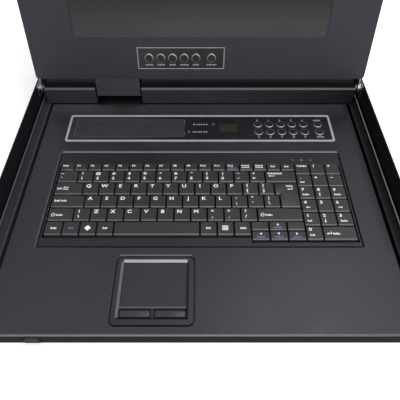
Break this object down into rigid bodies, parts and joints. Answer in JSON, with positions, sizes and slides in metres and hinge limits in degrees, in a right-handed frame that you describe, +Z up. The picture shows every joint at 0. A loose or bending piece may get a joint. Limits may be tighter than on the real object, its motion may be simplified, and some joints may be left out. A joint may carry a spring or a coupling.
{
  "type": "rackmount kvm console",
  "caption": "One-unit rack drawer on telescopic slides with keyboard, touchpad, port selector buttons and a folding screen lid.",
  "frame": {"origin": "centre of the four front rack slots, on the rear face of the front ears that meets the rack posts", "axes": "+X to the right seen from the front, +Y into the rack along the slides, +Z up"},
  "size_m": [0.4826, 1.0111, 0.3601],
  "materials": {
    "rail_steel": "zinc plated, satin",
    "bracket_black": "satin black",
    "powder_black": "fine textured powder coat",
    "powder_dark": "fine textured powder coat",
    "lid_black": "fine textured powder coat",
    "board_green": "solder mask",
    "port_blue": "moulded",
    "port_metal": "nickel plated",
    "inlet_black": "moulded",
    "supply_case": "bare sheet",
    "border_silver": "brushed",
    "panel_film": "printed film",
    "display_smoke": "smoked window",
    "lamp_clear": "clear lens",
    "key_black": "moulded, satin",
    "frame_black": "moulded, fine grain",
    "plate_steel": "plain",
    "pad_black": "matt film",
    "hinge_steel": "zinc plated",
    "screw_steel": "bright zinc",
    "screen_dark": "matt screen film",
    "latch_grey": "moulded"
  },
  "bodies": {
    "rack_rails": {"left_outer_rail": "rail_steel", "right_outer_rail": "rail_steel", "left_front_bracket": "bracket_black", "right_front_bracket": "bracket_black", "left_rear_bracket": "bracket_black", "right_rear_bracket": "bracket_black", "bracket_screws": "screw_steel"},
    "left_middle_slide": {"left_middle_rail": "rail_steel"},
    "right_middle_slide": {"right_middle_rail": "rail_steel"},
    "drawer": {"left_inner_rail": "rail_steel", "right_inner_rail": "rail_steel", "base_tray": "powder_dark", "deck_plate": "powder_black", "left_side_ledge": "powder_dark", "right_side_ledge": "powder_dark", "rear_cover": "powder_black", "rear_panel": "powder_black", "switch_board": "board_green", "computer_ports": "port_blue", "console_ports": "port_metal", "power_inlet": "inlet_black", "power_supply": "supply_case", "panel_border": "border_silver", "panel_plate": "panel_film", "panel_board": "board_green", "digit_display": "display_smoke", "panel_lamps": "lamp_clear", "keyboard_frame": "frame_black", "keyboard_plate": "plate_steel", "keyboard_lamps": "lamp_clear", "touchpad_bezel": "frame_black", "touchpad_surface": "pad_black", "left_hinge_bracket": "hinge_steel", "right_hinge_bracket": "hinge_steel", "hinge_screws": "screw_steel"},
    "lid": {"lid_cover": "lid_black", "lid_bezel": "lid_black", "lcd_panel": "screen_dark", "lcd_boards": "board_green", "menu_plate": "panel_film", "cable_cover": "lid_black", "left_hinge_arm": "hinge_steel", "right_hinge_arm": "hinge_steel"},
    "left_touch_button_body": {"left_touch_button": "key_black"},
    "right_touch_button_body": {"right_touch_button": "key_black"},
    "front_latch_body": {"front_latch": "latch_grey"},
    "upper_digit_buttons_body": {"upper_digit_buttons": "key_black"},
    "lower_digit_buttons_body": {"lower_digit_buttons": "key_black"},
    "upper_command_button_body": {"upper_command_button": "key_black"},
    "lower_command_button_body": {"lower_command_button": "key_black"},
    "menu_buttons_body": {"menu_buttons": "key_black"},
    "menu_power_button_body": {"menu_power_button": "key_black"},
    "function_keys_body": {"function_keys": "key_black"},
    "number_keys_body": {"number_keys": "key_black"},
    "tab_keys_body": {"tab_keys": "key_black"},
    "caps_keys_body": {"caps_keys": "key_black"},
    "shift_keys_body": {"shift_keys": "key_black"},
    "space_keys_body": {"space_keys": "key_black"},
    "arrow_keys_body": {"arrow_keys": "key_black"},
    "numpad_keys_body": {"numpad_keys": "key_black"}
  },
  "joints": [
    {"name": "drawer_slide", "type": "slide", "parent": "rack_rails", "child": "drawer", "axis": [0, 1, 0], "range_m": [0, 0.4]},
    {"name": "left_middle_slide_joint", "type": "slide", "parent": "rack_rails", "child": "left_middle_slide", "axis": [0, 1, 0], "range_m": [0, 0.2]},
    {"name": "right_middle_slide_joint", "type": "slide", "parent": "rack_rails", "child": "right_middle_slide", "axis": [0, 1, 0], "range_m": [0, 0.2]},
    {"name": "lid_hinge", "type": "hinge", "parent": "drawer", "child": "lid", "pos_m": [0, -0.0768, 0.0129], "axis": [-1, 0, 0], "range_deg": [-102, 10]},
    {"name": "left_touch_button_press", "type": "slide", "parent": "drawer", "child": "left_touch_button_body", "axis": [0, 0, -1], "range_m": [0, 0.0008], "stiffness_N_per_m": 600, "springref_m": -0.001},
    {"name": "right_touch_button_press", "type": "slide", "parent": "drawer", "child": "right_touch_button_body", "axis": [0, 0, -1], "range_m": [0, 0.0008], "stiffness_N_per_m": 600, "springref_m": -0.001},
    {"name": "front_latch_press", "type": "slide", "parent": "drawer", "child": "front_latch_body", "axis": [0, 1, 0], "range_m": [0, 0.003], "stiffness_N_per_m": 400, "springref_m": -0.002},
    {"name": "upper_digit_buttons_press", "type": "slide", "parent": "drawer", "child": "upper_digit_buttons_body", "axis": [0, 0, -1], "range_m": [0, 0.0008], "stiffness_N_per_m": 800, "springref_m": -0.001},
    {"name": "lower_digit_buttons_press", "type": "slide", "parent": "drawer", "child": "lower_digit_buttons_body", "axis": [0, 0, -1], "range_m": [0, 0.0008], "stiffness_N_per_m": 800, "springref_m": -0.001},
    {"name": "upper_command_button_press", "type": "slide", "parent": "drawer", "child": "upper_command_button_body", "axis": [0, 0, -1], "range_m": [0, 0.0008], "stiffness_N_per_m": 800, "springref_m": -0.001},
    {"name": "lower_command_button_press", "type": "slide", "parent": "drawer", "child": "lower_command_button_body", "axis": [0, 0, -1], "range_m": [0, 0.0008], "stiffness_N_per_m": 800, "springref_m": -0.001},
    {"name": "menu_buttons_press", "type": "slide", "parent": "lid", "child": "menu_buttons_body", "axis": [0, 0.9781, -0.2079], "range_m": [0, 0.0004], "stiffness_N_per_m": 800, "springref_m": -0.001},
    {"name": "menu_power_button_press", "type": "slide", "parent": "lid", "child": "menu_power_button_body", "axis": [0, 0.9781, -0.2079], "range_m": [0, 0.0004], "stiffness_N_per_m": 800, "springref_m": -0.001},
    {"name": "function_keys_press", "type": "slide", "parent": "drawer", "child": "function_keys_body", "axis": [0, 0, -1], "range_m": [0, 0.0023], "stiffness_N_per_m": 400, "springref_m": -0.0015},
    {"name": "number_keys_press", "type": "slide", "parent": "drawer", "child": "number_keys_body", "axis": [0, 0, -1], "range_m": [0, 0.0023], "stiffness_N_per_m": 400, "springref_m": -0.0015},
    {"name": "tab_keys_press", "type": "slide", "parent": "drawer", "child": "tab_keys_body", "axis": [0, 0, -1], "range_m": [0, 0.0023], "stiffness_N_per_m": 400, "springref_m": -0.0015},
    {"name": "caps_keys_press", "type": "slide", "parent": "drawer", "child": "caps_keys_body", "axis": [0, 0, -1], "range_m": [0, 0.0023], "stiffness_N_per_m": 400, "springref_m": -0.0015},
    {"name": "shift_keys_press", "type": "slide", "parent": "drawer", "child": "shift_keys_body", "axis": [0, 0, -1], "range_m": [0, 0.0023], "stiffness_N_per_m": 400, "springref_m": -0.0015},
    {"name": "space_keys_press", "type": "slide", "parent": "drawer", "child": "space_keys_body", "axis": [0, 0, -1], "range_m": [0, 0.0023], "stiffness_N_per_m": 400, "springref_m": -0.0015},
    {"name": "arrow_keys_press", "type": "slide", "parent": "drawer", "child": "arrow_keys_body", "axis": [0, 0, -1], "range_m": [0, 0.0023], "stiffness_N_per_m": 400, "springref_m": -0.0015},
    {"name": "numpad_keys_press", "type": "slide", "parent": "drawer", "child": "numpad_keys_body", "axis": [0, 0, -1], "range_m": [0, 0.0023], "stiffness_N_per_m": 400, "springref_m": -0.0015}
  ],
  "couplings": [
    {"joint": "left_middle_slide_joint", "follows": "drawer_slide", "ratio": 0.5},
    {"joint": "right_middle_slide_joint", "follows": "drawer_slide", "ratio": 0.5}
  ]
}
